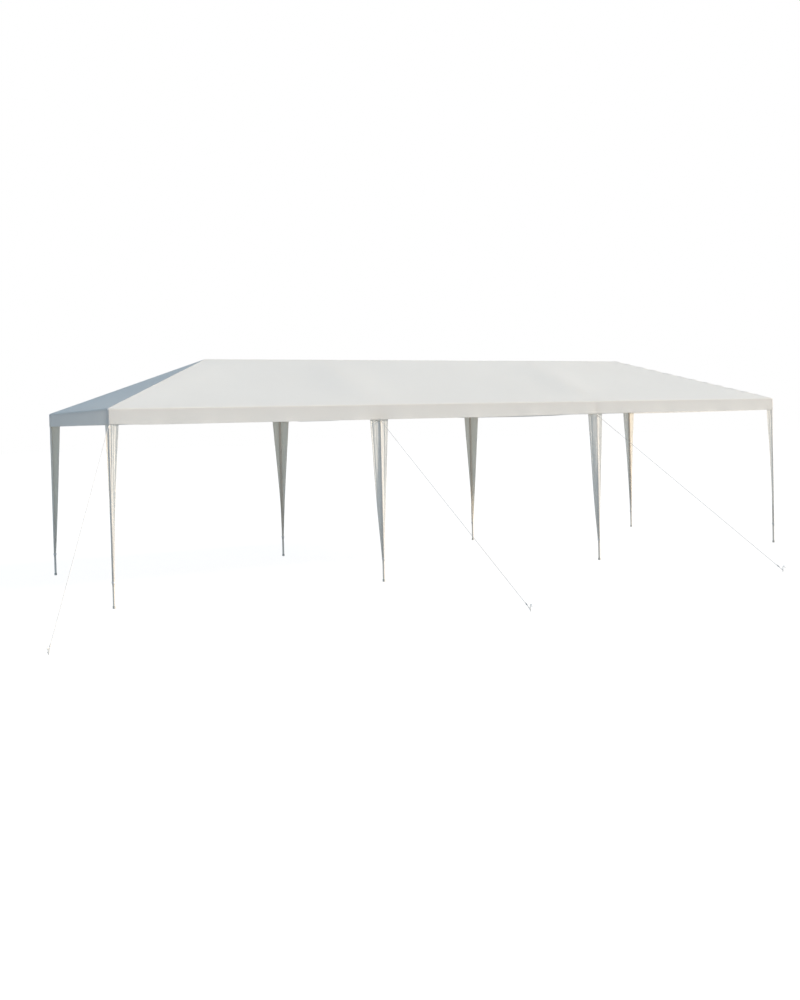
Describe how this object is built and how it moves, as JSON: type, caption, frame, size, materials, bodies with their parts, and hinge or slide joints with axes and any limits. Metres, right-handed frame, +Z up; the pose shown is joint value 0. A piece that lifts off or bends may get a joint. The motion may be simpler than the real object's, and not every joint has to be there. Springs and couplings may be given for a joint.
{
  "type": "marquee tent",
  "caption": "Open-sided marquee tent: a white hipped sheet roof with a valance and tapered leg drapes on a frame of steel tubes, held by taut guy ropes and pegs.",
  "frame": {"origin": "centre of the underside of the front left leg's foot, on the ground", "axes": "+X along the front eave from the left end to the right end, +Y from the front legs to the back legs, +Z up"},
  "size_m": [10.1355, 5.6266, 2.5899],
  "materials": {
    "tube_steel": "white powder coat, satin",
    "connector_steel": "white powder coat, satin, over welded sockets",
    "cover_sheet": "white coated woven sheet, low sheen",
    "drape_sheet": "white coated woven sheet, low sheen",
    "rope_fibre": "light grey twisted fibre, matt",
    "foot_cap": "grey moulded cap",
    "peg_steel": "galvanised"
  },
  "bodies": {
    "root": {"leg_front_1": "tube_steel", "drape_front_1": "drape_sheet", "connector_front_1": "connector_steel", "leg_front_2": "tube_steel", "drape_front_2": "drape_sheet", "connector_front_2": "connector_steel", "leg_front_3": "tube_steel", "drape_front_3": "drape_sheet", "connector_front_3": "connector_steel", "leg_front_4": "tube_steel", "drape_front_4": "drape_sheet", "connector_front_4": "connector_steel", "eave_pole_front_1": "tube_steel", "eave_pole_front_2": "tube_steel", "eave_pole_front_3": "tube_steel", "rafter_front_1": "tube_steel", "rafter_front_2": "tube_steel", "hip_pole_front_left": "tube_steel", "hip_pole_front_right": "tube_steel", "leg_back_1": "tube_steel", "drape_back_1": "drape_sheet", "connector_back_1": "connector_steel", "leg_back_2": "tube_steel", "drape_back_2": "drape_sheet", "connector_back_2": "connector_steel", "leg_back_3": "tube_steel", "drape_back_3": "drape_sheet", "connector_back_3": "connector_steel", "leg_back_4": "tube_steel", "drape_back_4": "drape_sheet", "connector_back_4": "connector_steel", "eave_pole_back_1": "tube_steel", "eave_pole_back_2": "tube_steel", "eave_pole_back_3": "tube_steel", "rafter_back_1": "tube_steel", "rafter_back_2": "tube_steel", "hip_pole_back_left": "tube_steel", "hip_pole_back_right": "tube_steel", "eave_pole_left_end": "tube_steel", "eave_pole_right_end": "tube_steel", "ridge_pole_1": "tube_steel", "ridge_pole_2": "tube_steel", "ridge_pole_3": "tube_steel", "connector_ridge_1": "connector_steel", "connector_ridge_2": "connector_steel", "connector_ridge_3": "connector_steel", "connector_ridge_4": "connector_steel", "canopy_front": "cover_sheet", "canopy_back": "cover_sheet", "canopy_left_end": "cover_sheet", "canopy_right_end": "cover_sheet", "guy_rope_1": "rope_fibre", "peg_1": "peg_steel", "guy_rope_2": "rope_fibre", "peg_2": "peg_steel", "guy_rope_3": "rope_fibre", "peg_3": "peg_steel"}
  },
  "joints": []
}
